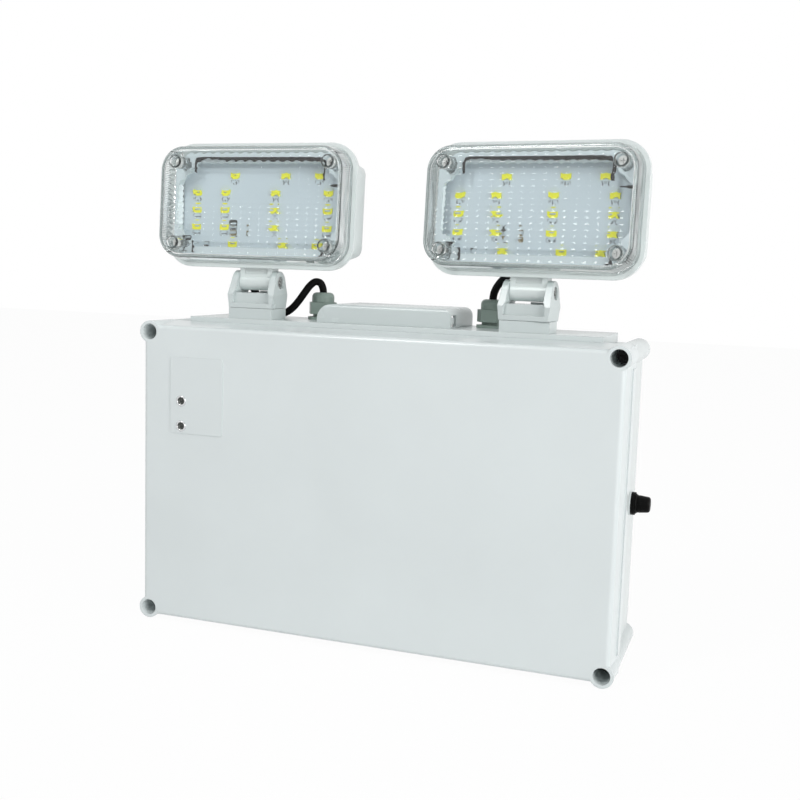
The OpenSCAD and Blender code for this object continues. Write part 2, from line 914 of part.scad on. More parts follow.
module test_button() {
  seat = button_seat;
  tip = seat + bezel_flange_t + button_out;
  color("black")
  at_button() {
    rotate([0, 90, 0])
      rotate_extrude()
        polygon(concat([[0, seat - knob_in], [knob_r, seat - knob_in],
          [knob_r, seat + bezel_flange_t + knob_collar],
          [knob_r - knob_clear, seat + bezel_flange_t + knob_collar + knob_clear]],
          arc(knob_tip_r - knob_round, tip - knob_round, knob_round, 0, 90), [[0, tip]]));
    rod_x(stem_r, seat - knob_in - stem_l, seat - knob_in + over);
  }
}

module pedestal(side) {
  color("gainsboro")
  translate([yoke_x(side), swivel_y, 0])
  difference() {
    union() {
      block([-pedestal_w / 2, -pedestal_d / 2, platform_z],
        [pedestal_w / 2, pedestal_d / 2, yoke_z - face_gap / 2]);
      for (sx = [-1, 1])
        translate([sx * nub_x, 0, platform_z - nub_l])
          cylinder(r = nub_r, h = nub_l + over);
    }
    translate([0, 0, platform_z - over])
      cylinder(r = swivel_r + run_gap, h = pedestal_h + 2 * over);
  }
}

// Each yoke and head stands turned on its swivel axis, and each head tilted on its yoke
function turn(side) = side < 0 ? left_turn_angle : right_turn_angle;
function tilt(side) = side < 0 ? left_tilt_angle : right_tilt_angle;

module at_swivel(side) {
  translate([yoke_x(side), swivel_y, 0])
    rotate([0, 0, turn(side)])
      children();
}

// The right-hand ear of a yoke: its side outline, bowed out round its waist
module ear() {
  a = pedestal_d / 2;
  g = yoke_gap / 2;
  w = pedestal_w / 2;
  top = pivot_h + ear_r;
  intersection() {
    translate([g, 0, 0])
      rotate([90, 0, 90])
        linear_extrude(w + ear_side - g) {
          polygon([[-a, face_gap / 2], [a, face_gap / 2], [a, ear_waist],
            [pivot_back + ear_r, pivot_h], [pivot_back, top],
            [pivot_back - ear_r * sin(ear_lean_angle), pivot_h + ear_r * cos(ear_lean_angle)],
            [-a, ear_waist]]);
          translate([pivot_back, pivot_h])
            circle(r = ear_r);
        }
    rotate([90, 0, 0])
      linear_extrude(2 * pedestal_d, center = true)
        polygon([[g, 0], [w, 0], [w + ear_side, ear_waist], [w + ear_side / 2, pivot_h],
          [w, top + over], [g, top + over], [g, pivot_h - barrel_r], [g + ear_bow, ear_waist],
          [g + ear_bow, web_foot]]);
  }
}

module yoke(side) {
  a = pedestal_d / 2;
  w = pedestal_w / 2;
  g = yoke_gap / 2;
  x = g + ear_bow + over / 2;
  color("gainsboro")
  at_swivel(side)
  translate([0, 0, yoke_z])
  difference() {
    union() {
      ear();
      mirror([1, 0, 0]) ear();
      block([-x, -a, face_gap / 2], [x, web_back, web_foot]);
      block([-x, web_set - a, face_gap / 2], [x, web_back, web_h]);
      block([0, pivot_back + ledge_set, web_foot],
        [x, web_back, pivot_h - barrel_r - ledge_clear]);
    }
    translate([0, 0, -over])
      cylinder(r = swivel_r + run_gap, h = swivel_grip + over);
    translate([0, pivot_back, pivot_h]) {
      rod_x(bolt_r + run_gap, -w - ear_side - over, w + ear_side + over);
      rod_x(bolt_head_r + joint_gap, w - bolt_sink, w + ear_side + over);
      translate([-w - ear_side - over, 0, 0])
        rotate([0, 90, 0])
          cylinder(r = nut_r + joint_gap, h = bolt_sink + ear_side + over, $fn = 6);
    }
  }
}

module swivel_screw(side) {
  seat = ceiling_z - face_gap;
  color("silver")
  at_swivel(side)
  difference() {
    union() {
      translate([0, 0, seat - swivel_head_h])
        cylinder(r = swivel_head_r, h = swivel_head_h);
      translate([0, 0, seat - swivel_head_h / 2])
        cylinder(r = swivel_r, h = yoke_z + swivel_grip - soft_gap - seat + swivel_head_h / 2);
    }
    translate([0, 0, seat - swivel_head_h - over])
      cylinder(r = swivel_head_r / 2, h = swivel_head_h / 2 + over, $fn = 6);
  }
}

module at_pivot(side) {
  at_swivel(side)
    translate([0, pivot_back, pivot_z])
      children();
}

module pivot_bolt(side) {
  seat = pedestal_w / 2 - bolt_sink;
  color("slategray")
  at_pivot(side)
  difference() {
    union() {
      rod_x(bolt_head_r, seat, seat + bolt_head_h);
      rod_x(bolt_r, -pedestal_w / 2 + joint_gap, seat + bolt_head_h / 2);
    }
    translate([seat + bolt_head_h / 2, 0, 0])
      rotate([0, 90, 0])
        cylinder(r = bolt_key_r, h = bolt_head_h, $fn = 6);
  }
}

module pivot_nut(side) {
  back = bolt_sink - pedestal_w / 2;
  color("slategray")
  at_pivot(side)
  difference() {
    translate([back - nut_h, 0, 0])
      rotate([0, 90, 0])
        cylinder(r = nut_r, h = nut_h, $fn = 6);
    rod_x(bolt_r + run_gap, back - nut_h - over, back + over);
  }
}

// Puts a piece from the head's own frame in its place, at its rest tilt
module at_head(side) {
  at_pivot(side)
    rotate([-tilt(side), 0, 0])
      children();
}

// The same, with the middle of the lens as its origin
module at_face(side) {
  at_head(side)
    at_middle() children();
}

module at_middle() {
  translate([head_side, 0, head_rise])
    children();
}

module at_posts() {
  for (sx = [-1, 1], sz = [-1, 1])
    translate([sx * post_x, 0, sz * post_z])
      children();
}

// Rounded block of the housing behind its flange, grown or shrunk by t
module body_block(t, y1, y2) {
  w = body_w + 2 * t;
  h = body_h + 2 * t;
  r = body_round;
  intersection() {
    plate_y(w, h, body_r + t, y1, y2);
    mirror([0, 1, 0])
      drafted(w, w, h, h, -y2, over - y1, r + t);
  }
}

module head_housing(side) {
  body_low = head_rise - body_h / 2;
  color("whitesmoke")
  at_head(side)
  difference() {
    union() {
      at_middle() {
        plate_y(lens_foot_w + 2 * flange_over, lens_foot_h + 2 * flange_over,
          lens_r + flange_over, flange_front, flange_back);
        body_block(0, flange_front, body_back);
      }
      block([-arm_w / 2, arm_front, 0], [arm_w / 2, arm_back, body_low + shell_t / 2]);
      rod_x(barrel_r, -barrel_w / 2, barrel_w / 2);
    }
    at_middle() {
      difference() {
        body_block(-shell_t, flange_front - over, body_back - shell_t);
        at_posts() rod_y(post_r, flange_front, body_back);
        for (sx = [-1, 1], sz = [-1, 1])
          translate([sx * support_x, 0, sz * support_z])
            rod_y(support_r, led_board_y + board_t, body_back);
      }
      at_posts() rod_y(lens_screw_r + run_gap, flange_front - over, lens_seat + lens_screw_l);
      at_posts() rod_y(post_r + joint_gap, flange_front - over, led_board_y + board_t + joint_gap);
    }
    block([-panel_w / 2, arm_front - over, panel_rise], [panel_w / 2, arm_front + panel_t,
      panel_rise + panel_h]);
    rod_x(bolt_r + run_gap, -barrel_w, barrel_w);
    translate([head_grommet_x, head_grommet_y, body_low - over])
      cylinder(r = head_grommet_neck + run_gap, h = shell_t + 2 * over);
  }
}

module head_gasket(side) {
  color("gray")
  at_face(side)
  difference() {
    plate_y(lens_foot_w - lens_t / 2, lens_foot_h - lens_t / 2, lens_r - lens_t / 4, lens_back,
      flange_front);
    plate_y(lens_w - 2 * lens_t, lens_h - 2 * lens_t, lens_r - lens_t, lens_back - over,
      flange_front + over);
    at_posts() rod_y(post_r + joint_gap, lens_back - over, flange_front + over);
  }
}

module lens(side) {
  front = -head_reach;
  in_w = lens_w - 2 * lens_t;
  in_h = lens_h - 2 * lens_t;
  flute_r = (pow(flute_pitch / 2, 2) + pow(flute_depth, 2)) / (2 * flute_depth);
  count = floor((in_w / 2 - flute_margin_x) / flute_pitch);
  color("aliceblue", 0.4)
  at_face(side)
  difference() {
    union() {
      difference() {
        intersection() {
          plate_y(lens_foot_w, lens_foot_h, lens_r, front, lens_back);
          drafted(lens_w, lens_foot_w, lens_h, lens_foot_h, front, lens_back, lens_round);
        }
        plate_y(in_w, in_h, lens_r - lens_t, front + lens_t, lens_back + over);
        for (i = [-count : count])
          translate([i * flute_pitch, front + lens_t + flute_r - flute_depth, flute_margin_z - in_h / 2])
            cylinder(r = flute_r, h = in_h - 2 * flute_margin_z);
      }
      at_posts() rod_y(post_r, front + lens_t / 2, led_board_y + board_t);
    }
    at_posts() rod_y(post_sink_r, front - over, front + post_sink);
    at_posts() rod_y(lens_screw_r + run_gap, front, body_back);
  }
}

module lens_screws(side) {
  color("silver")
  at_face(side)
  at_posts()
  difference() {
    union() {
      rod_y(lens_screw_head_r, lens_seat - lens_screw_head_h, lens_seat);
      rod_y(lens_screw_r, lens_seat, lens_seat + lens_screw_l);
    }
    cross_slot(lens_seat - lens_screw_head_h, lens_screw_head_r, cross_w / 2,
      lens_screw_head_h / 2);
  }
}

module reflector(side) {
  w = lens_w - 2 * lens_t - 2 * tray_gap;
  h = lens_h - 2 * lens_t - 2 * tray_gap;
  front = flange_front - tray_d;
  spread = tray_slope * (1 + 2 * over / tray_d);
  color("lavender")
  at_face(side)
  difference() {
    difference() {
      plate_y(w, h, lens_r - lens_t - tray_gap, front, flange_front);
      intersection() {
        tapered(led_board_w + spread, led_board_w - spread, led_board_h + spread,
          led_board_h - spread, front - over, flange_front + over);
        cut_plate(led_board_w, led_board_h, tray_corner, front - 2 * over, flange_front + 2 * over);
      }
    }
    at_posts() rod_y(post_r + joint_gap, front - over, flange_front + over);
  }
}

module led_board(side) {
  color("white")
  at_face(side)
  difference() {
    plate_y(led_board_w, led_board_h, body_r - shell_t, led_board_y, led_board_y + board_t);
    at_posts() rod_y(post_r + joint_gap, led_board_y - over, led_board_y + board_t + over);
  }
}

// Rows of chips, with other columns in the first and the last row
module led_chips(side) {
  last = len(chip_rows_shares) - 1;
  color("yellow")
  at_face(side)
  for (i = [0 : last])
    for (c = i == 0 || i == last ? chip_outer_shares : chip_inner_shares)
      translate([c * led_board_w - chip_w / 2, led_board_y - chip_t,
        chip_rows_shares[i] * led_board_h - chip_h / 2])
        cube([chip_w, chip_t, chip_h]);
}

module head_grommet(side) {
  body_low = head_rise - body_h / 2;
  color("dimgray")
  at_head(side)
  translate([head_grommet_x, head_grommet_y, 0])
  difference() {
    union() {
      translate([0, 0, body_low - head_grommet_t])
        cylinder(r = head_grommet_r, h = head_grommet_t);
      translate([0, 0, body_low - over / 2])
        cylinder(r = head_grommet_neck, h = shell_t + over);
    }
    translate([0, 0, body_low - head_grommet_t - over])
      cylinder(r = lead_r + run_gap, h = shell_t + 3 * over + head_grommet_t);
  }
}

module gland_body(side) {
  color("darkseagreen")
  translate([side * gland_x, -gland_y, gland_z])
  difference() {
    union() {
      cylinder(r = gland_flange_r, h = gland_flange_t);
      cylinder(r = gland_neck_r, h = gland_flange_t + gland_neck_h);
      cylinder(r = gland_stem_r, h = gland_flange_t + gland_neck_h + gland_nut_h);
      translate([0, 0, -gland_stem_l])
        cylinder(r = gland_stem_r, h = gland_stem_l);
    }
    translate([0, 0, -gland_stem_l - over])
      cylinder(r = lead_r + soft_gap, h = gland_stem_l + gland_flange_t + gland_neck_h
        + gland_nut_h + 2 * over);
  }
}

// The domed cap nut: a hexagon below, a round dome above
module gland_cap(side) {
  low = gland_flange_t + gland_neck_h;
  color("darkseagreen")
  translate([side * gland_x, -gland_y, gland_z])
  difference() {
    union() {
      translate([0, 0, low])
        cylinder(r = gland_af / 2 / cos(30), h = gland_nut_h, $fn = 6);
      translate([0, 0, low + gland_nut_h / 2])
        rotate_extrude()
          polygon(concat([[0, 0], [gland_dome_r, 0]],
            arc(gland_dome_r - gland_dome_round,
              gland_nut_h / 2 + gland_dome_h - gland_dome_round, gland_dome_round, 0, 90),
            [[0, gland_nut_h / 2 + gland_dome_h]]));
    }
    translate([0, 0, low - over])
      cylinder(r = gland_stem_r + run_gap, h = gland_nut_h + over + soft_gap);
    translate([0, 0, low])
      cylinder(r = lead_r + soft_gap, h = gland_nut_h + gland_dome_h + over);
  }
}

module gland_locknut(side) {
  color("darkseagreen")
  translate([side * gland_x, -gland_y, ceiling_z - locknut_h])
  difference() {
    cylinder(r = gland_af / 2 / cos(30), h = locknut_h, $fn = 6);
    translate([0, 0, -over])
      cylinder(r = gland_stem_r + run_gap, h = locknut_h + 2 * over);
  }
}

// Where a lead passes its head's grommet, and the point inside where it ends
function head_point(side, z) =
  let (t = tilt(side), a = turn(side), x = head_grommet_x, y = head_grommet_y,
    back = pivot_back + y * cos(t) + z * sin(t))
  [yoke_x(side) + x * cos(a) - back * sin(a), swivel_y + x * sin(a) + back * cos(a),
    pivot_z - y * sin(t) + z * cos(t)];
function full_route(side, route) =
  let (low = head_rise - body_h / 2 - head_grommet_t)
  concat(route, [head_point(side, low), head_point(side, low + head_grommet_t + lead_inside)]);

// Direction of the route at each point: straight at both ends, and along its neighbours between
function route_dir(p, i) =
  i < 2 ? unit(p[1] - p[0])
  : i > len(p) - 3 ? unit(p[len(p) - 1] - p[len(p) - 2])
  : unit(unit(p[i + 1] - p[i]) + unit(p[i] - p[i - 1]));
function ring(p, i) =
  let (t = route_dir(p, i), u = unit(cross(t, [0, 1, 0])), v = cross(t, u))
  [for (k = [0 : lead_sides - 1])
    let (a = 360 * k / lead_sides)
    p[i] + lead_r * (cos(a) * u + sin(a) * v)];

// A tube through the route's points from one index to another
module lead(p, first, last) {
  n = last - first;
  s = lead_sides;
  rings = [for (i = [first : last]) each ring(p, i)];
  sides = [for (i = [0 : n - 1], k = [0 : s - 1])
    let (a = i * s + k, b = i * s + (k + 1) % s)
    each [[a, a + s, b], [b, a + s, b + s]]];
  low_cap = [for (k = [1 : s - 2]) [0, k, k + 1]];
  high_cap = [for (k = [1 : s - 2]) [n * s, n * s + k + 1, n * s + k]];
  color("black")
    polyhedron(rings, concat(sides, low_cap, high_cap), convexity = 6);
}

left_full = full_route(-1, left_lead_route);
right_full = full_route(1, right_lead_route);

back_box();
front_cover();
cover_gasket();
cover_screws();
info_label();
indicator_bezels();
indicator_leds();
cable_hood();
entry_grommet();
battery();
battery_terminals();
battery_strap();
strap_screws();
charger_board();
mains_transformer();
charger_capacitors();
terminal_block();
board_screws();
button_bezel();
button_nut();
switch_body();
test_button();
pedestal(-1);  // left_pedestal
pedestal(1);  // right_pedestal
gland_body(-1);  // left_gland_body
gland_body(1);  // right_gland_body
gland_cap(-1);  // left_gland_cap
gland_cap(1);  // right_gland_cap
gland_locknut(-1);  // left_gland_locknut
gland_locknut(1);  // right_gland_locknut
yoke(-1);  // left_yoke
yoke(1);  // right_yoke
swivel_screw(-1);  // left_swivel_screw
swivel_screw(1);  // right_swivel_screw
pivot_bolt(-1);  // left_pivot_bolt
pivot_bolt(1);  // right_pivot_bolt
pivot_nut(-1);  // left_pivot_nut
pivot_nut(1);  // right_pivot_nut
head_housing(-1);  // left_head_housing
head_housing(1);  // right_head_housing
head_gasket(-1);  // left_head_gasket
head_gasket(1);  // right_head_gasket
lens(-1);  // left_lens
lens(1);  // right_lens
lens_screws(-1);  // left_lens_screws
lens_screws(1);  // right_lens_screws
reflector(-1);  // left_reflector
reflector(1);  // right_reflector
led_board(-1);  // left_led_board
led_board(1);  // right_led_board
led_chips(-1);  // left_led_chips
led_chips(1);  // right_led_chips
head_grommet(-1);  // left_head_grommet
head_grommet(1);  // right_head_grommet
lead(left_full, 0, left_split);  // left_lead_lower
lead(right_full, 0, right_split);  // right_lead_lower
lead(left_full, left_split, len(left_full) - 1);  // left_lead_upper
lead(right_full, right_split, len(right_full) - 1);  // right_lead_upper
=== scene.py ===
# Twin head emergency light: finishes, lamp leads, lenses, stage, light and camera.
import json
import math
import bmesh
import bpy
from mathutils import Matrix, Vector

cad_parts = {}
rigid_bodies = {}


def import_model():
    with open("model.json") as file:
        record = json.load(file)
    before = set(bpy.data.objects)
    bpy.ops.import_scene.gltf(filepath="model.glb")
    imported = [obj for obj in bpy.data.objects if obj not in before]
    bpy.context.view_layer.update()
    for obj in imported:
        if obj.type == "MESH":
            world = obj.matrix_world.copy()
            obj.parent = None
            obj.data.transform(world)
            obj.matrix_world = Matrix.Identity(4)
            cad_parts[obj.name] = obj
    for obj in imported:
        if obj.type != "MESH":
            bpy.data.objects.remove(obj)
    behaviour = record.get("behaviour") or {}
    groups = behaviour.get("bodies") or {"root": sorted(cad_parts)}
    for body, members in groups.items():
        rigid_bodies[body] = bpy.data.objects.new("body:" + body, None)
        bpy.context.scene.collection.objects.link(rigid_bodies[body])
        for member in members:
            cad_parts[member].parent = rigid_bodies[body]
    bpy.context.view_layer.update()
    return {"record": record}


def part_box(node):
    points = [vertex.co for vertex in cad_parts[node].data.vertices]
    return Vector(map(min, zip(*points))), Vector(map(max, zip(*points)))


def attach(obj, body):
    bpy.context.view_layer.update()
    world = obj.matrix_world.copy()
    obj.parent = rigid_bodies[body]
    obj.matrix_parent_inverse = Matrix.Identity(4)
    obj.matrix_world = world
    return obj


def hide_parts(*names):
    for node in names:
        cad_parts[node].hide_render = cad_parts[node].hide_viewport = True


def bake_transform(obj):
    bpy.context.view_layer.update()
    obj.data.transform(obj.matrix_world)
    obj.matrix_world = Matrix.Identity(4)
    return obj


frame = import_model()
mm = 0.001
sides = ("left", "right")
print("stage: frame loaded")


# Camera, placed and aimed as the photograph was taken
camera = {
    "focal": 48.63 * mm,
    "sensor": 36 * mm,
    "nearest": 10 * mm,
    "place": (217.14 * mm, -633.3 * mm, 127.71 * mm),
    "turn": 19.48,
    "down": 7.06,
    "roll": 1.81,
}


def addCamera():
    turn = math.radians(camera["turn"])
    down = math.radians(camera["down"])
    roll = math.radians(camera["roll"])
    forward = Vector((-math.sin(turn) * math.cos(down), math.cos(turn) * math.cos(down), -math.sin(down)))
    level = Vector((math.cos(turn), math.sin(turn), 0))
    above = level.cross(forward)
    right = math.cos(roll) * level + math.sin(roll) * above
    up = math.cos(roll) * above - math.sin(roll) * level
    data = bpy.data.cameras.new("camera")
    data.lens = camera["focal"] / mm
    data.sensor_width = camera["sensor"] / mm
    data.clip_start = camera["nearest"]
    item = bpy.data.objects.new("camera", data)
    place = Matrix((right, up, -forward)).transposed().to_4x4()
    place.translation = Vector(camera["place"])
    item.matrix_world = place
    bpy.context.collection.objects.link(item)
    bpy.context.scene.camera = item


addCamera()


# Node tree helpers
class Tree:
    def __init__(self, name):
        self.material = bpy.data.materials.new(name)
        self.material.use_nodes = True
        self.nodes = self.material.node_tree.nodes
        self.links = self.material.node_tree.links
        self.nodes.clear()
        self.output = self.add("ShaderNodeOutputMaterial")
        self.shader = self.add("ShaderNodeBsdfPrincipled")
        self.link(self.shader, "BSDF", self.output, "Surface")

    def add(self, kind, **values):
        node = self.nodes.new(kind)
        for key, value in values.items():
            if key in node.inputs:
                node.inputs[key].default_value = value
            else:
                setattr(node, key, value)
        return node

    def link(self, source, out, target, name):
        self.links.new(source.outputs[out], target.inputs[name])

    def set(self, **values):
        for key, value in values.items():
            self.shader.inputs[key.replace("_", " ")].default_value = value

    def coords(self, stretch=(1, 1, 1), turned=(0, 0, 0)):
        source = self.add("ShaderNodeTexCoord")
        mapping = self.add("ShaderNodeMapping")
        mapping.inputs["Scale"].default_value = stretch
        mapping.inputs["Rotation"].default_value = turned
        self.link(source, "Object", mapping, "Vector")
        return mapping

    def noise(self, scale, detail=3, stretch=(1, 1, 1), roughness=0.5):
        node = self.add("ShaderNodeTexNoise", Scale=scale, Detail=detail, Roughness=roughness)
        self.link(self.coords(stretch), "Vector", node, "Vector")
        return node

    def ramp(self, source, low, high, colours, out="Fac"):
        node = self.add("ShaderNodeValToRGB")
        node.color_ramp.elements[0].position = low
        node.color_ramp.elements[1].position = high
        node.color_ramp.elements[0].color = (*colours[0], 1)
        node.color_ramp.elements[1].color = (*colours[1], 1)
        self.link(source, out, node, "Fac")
        return node

    def span(self, source, low, high, out="Fac"):
        node = self.add("ShaderNodeMapRange")
        node.inputs["To Min"].default_value = low
        node.inputs["To Max"].default_value = high
        self.link(source, out, node, "Value")
        return node

    def bump(self, source, height, out="Fac", edge=0.0):
        node = self.add("ShaderNodeBump", Strength=1.0, Distance=height)
        self.link(source, out, node, "Height")
        if edge:
            rounded = self.add("ShaderNodeBevel", Radius=edge)
            rounded.samples = 4
            self.link(rounded, "Normal", node, "Normal")
        self.link(node, "Normal", self.shader, "Normal")
        return node


def shade(colour, factor):
    return tuple(min(1.0, c * factor) for c in colour)


# Moulded plastic: a faint flow in the colour, a fine orange peel and soft edges
def plastic(name, colour, rough, flow=0.02, peel=0.004 * mm, edge=0.5 * mm, grain=900, sheen=0.5):
    tree = Tree(name)
    tree.set(IOR=1.5, Specular_IOR_Level=sheen)
    wide = tree.noise(14, 4)
    tint = tree.ramp(wide, 0.3, 0.7, (shade(colour, 1 - flow), shade(colour, 1 + flow)))
    tree.link(tint, "Color", tree.shader, "Base Color")
    fine = tree.noise(60, 5)
    smooth = tree.span(fine, rough * 0.8, rough * 1.2)
    tree.link(smooth, "Result", tree.shader, "Roughness")
    tree.bump(tree.noise(grain, 2), peel, edge=edge)
    return tree.material


# Black rubber of the leads: matt skin with a slight bloom
def rubber(name, colour, rough, edge=0.2 * mm):
    tree = Tree(name)
    patches = tree.noise(220, 4)
    tint = tree.ramp(patches, 0.35, 0.75, (colour, shade(colour, 1.8)))
    tree.link(tint, "Color", tree.shader, "Base Color")
    smooth = tree.span(patches, rough, rough + 0.15)
    tree.link(smooth, "Result", tree.shader, "Roughness")
    tree.set(Specular_IOR_Level=0.12)
    tree.bump(tree.noise(1800, 3), 0.01 * mm, edge=edge)
    return tree.material


def metal(name, colour, rough, brushed=0.02 * mm, edge=0.15 * mm):
    tree = Tree(name)
    tree.set(Metallic=1.0)
    marks = tree.noise(700, 3, (1, 1, 14))
    tint = tree.ramp(marks, 0.3, 0.8, (shade(colour, 0.82), colour))
    tree.link(tint, "Color", tree.shader, "Base Color")
    smooth = tree.span(marks, rough * 0.7, rough * 1.4)
    tree.link(smooth, "Result", tree.shader, "Roughness")
    tree.bump(marks, brushed * 0.2, edge=edge)
    return tree.material


# Clear moulding: refracts for the eye and lets the lamps' light through to what lies behind
def clearPlastic(name, colour, ior=1.49):
    tree = Tree(name)
    tree.set(Base_Color=(*colour, 1), IOR=ior, Transmission_Weight=1.0, Roughness=0.015)
    haze = tree.noise(300, 4)
    smooth = tree.span(haze, 0.0, 0.04)
    tree.link(smooth, "Result", tree.shader, "Roughness")
    path = tree.add("ShaderNodeLightPath")
    through = tree.add("ShaderNodeBsdfTransparent")
    through.inputs["Color"].default_value = (*shade(colour, 0.97), 1)
    straight = tree.add("ShaderNodeMath", operation="MAXIMUM")
    tree.links.new(path.outputs["Is Shadow Ray"], straight.inputs[0])
    tree.links.new(path.outputs["Is Diffuse Ray"], straight.inputs[1])
    mix = tree.add("ShaderNodeMixShader")
    tree.link(straight, "Value", mix, "Fac")
    tree.links.new(tree.shader.outputs["BSDF"], mix.inputs[1])
    tree.links.new(through.outputs["BSDF"], mix.inputs[2])
    tree.link(mix, "Shader", tree.output, "Surface")
    return tree.material


finishes = {
    "case_plastic": plastic("case_plastic", (0.715, 0.765, 0.765), 0.24),
    "head_plastic": plastic("head_plastic", (0.73, 0.78, 0.77), 0.25),
    "clear_plastic": clearPlastic("clear_plastic", (0.985, 0.998, 0.995)),
    "gland_plastic": plastic("gland_plastic", (0.29, 0.36, 0.32), 0.42, flow=0.05, peel=0.01 * mm),
    "black_rubber": rubber("black_rubber", (0.0025, 0.0025, 0.0025), 0.55),
    "seal_rubber": rubber("seal_rubber", (0.11, 0.12, 0.12), 0.6),
    "pale_seal": plastic("pale_seal", (0.40, 0.45, 0.445), 0.5),
    "screw_steel": metal("screw_steel", (0.56, 0.57, 0.56), 0.32),
    "button_plastic": plastic("button_plastic", (0.003,) * 3, 0.45, flow=0.2, grain=1400, sheen=0.08),
    "label_film": plastic("label_film", (0.70, 0.75, 0.75), 0.16, flow=0.01, edge=0.05 * mm),
    "screw_black": metal("screw_black", (0.03, 0.03, 0.03), 0.45),
    "indicator_chrome": metal("indicator_chrome", (0.75, 0.76, 0.77), 0.12, edge=0.05 * mm),
    "indicator_lens": plastic("indicator_lens", (0.62, 0.68, 0.62), 0.12, edge=0.1 * mm),
    "battery_case": plastic("battery_case", (0.05, 0.055, 0.06), 0.45, flow=0.1),
    "terminal_brass": metal("terminal_brass", (0.72, 0.55, 0.28), 0.3),
    "board_green": plastic("board_green", (0.02, 0.16, 0.07), 0.35, flow=0.15, edge=0.1 * mm),
    "winding_tape": plastic("winding_tape", (0.70, 0.48, 0.08), 0.4, flow=0.1),
    "capacitor_sleeve": plastic("capacitor_sleeve", (0.02, 0.03, 0.14), 0.25, flow=0.1),
    "terminal_plastic": plastic("terminal_plastic", (0.80, 0.79, 0.72), 0.4),
    "board_white": plastic("board_white", (0.54, 0.63, 0.68), 0.35, edge=0.1 * mm),
    "reflector_white": plastic("reflector_white", (0.58, 0.66, 0.69), 0.3),
    "led_phosphor": plastic("led_phosphor", (0.80, 0.80, 0.0), 0.35, flow=0.04, edge=0.1 * mm),
    # Darker copy of the case plastic: painted shade for the parts under the heads
    "shaded_top_plastic": plastic("shaded_top_plastic", (0.60, 0.655, 0.65), 0.26),
    "box_plastic": plastic("box_plastic", (0.67, 0.72, 0.715), 0.25),
    # Grey of the painted shadow strokes below the chips
    "chip_shadow_marks": plastic("chip_shadow_marks", (0.16, 0.19, 0.21), 0.5, edge=0.02 * mm),
    "indicator_cone": metal("indicator_cone", (0.10, 0.105, 0.10), 0.3, edge=0.02 * mm),
    "indicator_dome": plastic("indicator_dome", (0.03, 0.035, 0.03), 0.08, flow=0.01, edge=0.02 * mm),
    "chip_black": plastic("chip_black", (0.012, 0.014, 0.012), 0.4, edge=0.05 * mm),
    "chip_brown": plastic("chip_brown", (0.16, 0.13, 0.06), 0.4, edge=0.05 * mm),
}


# Hood, yokes and pedestals take the darker copy of the case plastic, as painted shade where the heads above
# shadow them
ownFinish = {"cable_hood": "shaded_top_plastic", "back_box": "box_plastic", "cover_screws": "screw_black"}
for side in sides:
    ownFinish[f"{side}_yoke"] = "shaded_top_plastic"
    ownFinish[f"{side}_pedestal"] = "shaded_top_plastic"
    ownFinish[f"{side}_head_gasket"] = "pale_seal"


def finishNodes():
    for part in frame["record"]["subparts"]:
        item = bpy.data.objects[part["node"]]
        item.data.materials.clear()
        item.data.materials.append(finishes[ownFinish.get(part["node"], part["material_slot"])])


finishNodes()
print("stage: finishes")


# New pieces from lists of points and faces
def addPiece(name, points, faces, finish, body, smooth=True):
    mesh = bpy.data.meshes.new(name)
    mesh.from_pydata([tuple(p) for p in points], [], faces)
    mesh.validate()
    mesh.materials.append(finishes[finish])
    for face in mesh.polygons:
        face.use_smooth = smooth
    item = bpy.data.objects.new(name, mesh)
    bpy.context.collection.objects.link(item)
    if body:
        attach(item, body)
    return item


# Lamp leads: one smooth line through the route's points, in two pieces that meet at the split
lead = {"radius": 2.25 * mm, "around": 20, "between": 8, "inside": 6 * mm}
head = {
    "x": {"left": -85.6 * mm, "right": 82.2 * mm},
    "swivelY": -42.25 * mm,
    "pivotBack": 1.2 * mm,
    "pivotZ": 115.4 * mm,
    "tilt": {"left": 3.6, "right": 3.6},
    "turn": {"left": 0.0, "right": -5.0},
    "side": 1.6 * mm,
    "rise": 45.1 * mm,
    "reach": 23 * mm,
    "bodyHeight": 59 * mm,
    "grommetX": -13 * mm,
    "grommetY": 11.5 * mm,
    "grommetThick": 1.4 * mm,
}
routes = {
    "left": [
        (-54.3, -14.7, 82), (-54.3, -14.7, 109.9), (-54.7, -15, 113), (-56.2, -15.8, 115.9),
        (-58.9, -17, 116.4), (-61.6, -18.5, 114.1), (-64.2, -20.2, 110), (-67.4, -21.4, 105),
        (-71, -22.2, 100.5), (-75, -22.4, 97.4), (-79.1, -22, 96), (-83, -21.6, 96.1),
        (-86.9, -21.5, 97.6), (-90.5, -22.3, 101), (-93.7, -23.9, 105.4), (-96.4, -25.9, 110.1),
        (-98.1, -27.7, 115.4), (-98.6, -28.6, 121.4)],
    "right": [
        (54.3, -14.7, 82), (54.3, -14.7, 109.9), (54.8, -15.2, 113.2), (56.3, -16.5, 116.4),
        (58.6, -18.4, 119.3), (61.4, -20.6, 121.9), (64.4, -22.9, 124), (67, -25, 125.4),
        (69, -26.6, 126.9)],
}
splits = {"left": 12, "right": 5}


# From a head's own frame, with its origin on the tilt axis, to the row's frame
def headPlace(side):
    swivel = Matrix.Translation((head["x"][side], head["swivelY"], 0))
    turn = Matrix.Rotation(math.radians(head["turn"][side]), 4, "Z")
    pivot = Matrix.Translation((0, head["pivotBack"], head["pivotZ"]))
    tilt = Matrix.Rotation(-math.radians(head["tilt"][side]), 4, "X")
    return swivel @ turn @ pivot @ tilt


def fullRoute(side):
    low = head["rise"] - head["bodyHeight"] / 2 - head["grommetThick"]
    heights = (low, low + head["grommetThick"] + lead["inside"])
    ends = [Vector((head["grommetX"], head["grommetY"], z)) for z in heights]
    points = [Vector(p) * mm for p in routes[side]]
    return points + [headPlace(side) @ p for p in ends]


